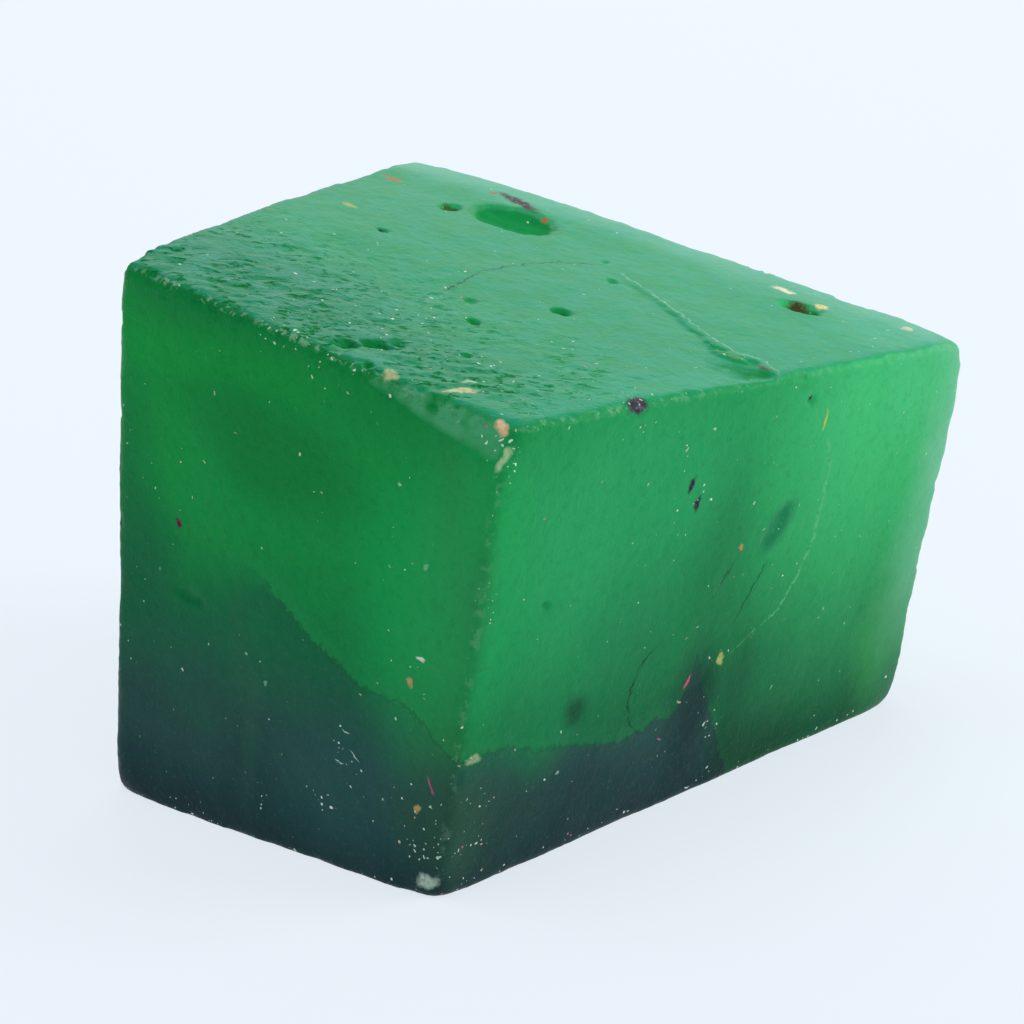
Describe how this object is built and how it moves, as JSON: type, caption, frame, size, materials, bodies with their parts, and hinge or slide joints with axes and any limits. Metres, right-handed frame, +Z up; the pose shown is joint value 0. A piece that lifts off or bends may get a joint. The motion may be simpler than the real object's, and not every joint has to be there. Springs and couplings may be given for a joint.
{
  "type": "raw emerald",
  "caption": "Rough block of frosted green emerald with slightly askew flat faces, worn edges, a flaked top and a flat base to rest on.",
  "frame": {"origin": "middle of the base, under the middle of the stone's overall box", "axes": "+X along the long front face, +Y from the front face to the back, +Z up"},
  "size_m": [0.051, 0.0444, 0.0366],
  "materials": {
    "emerald": "frosted, waxy and translucent, not see-through"
  },
  "bodies": {
    "root": {"raw_emerald": "emerald"}
  },
  "joints": []
}
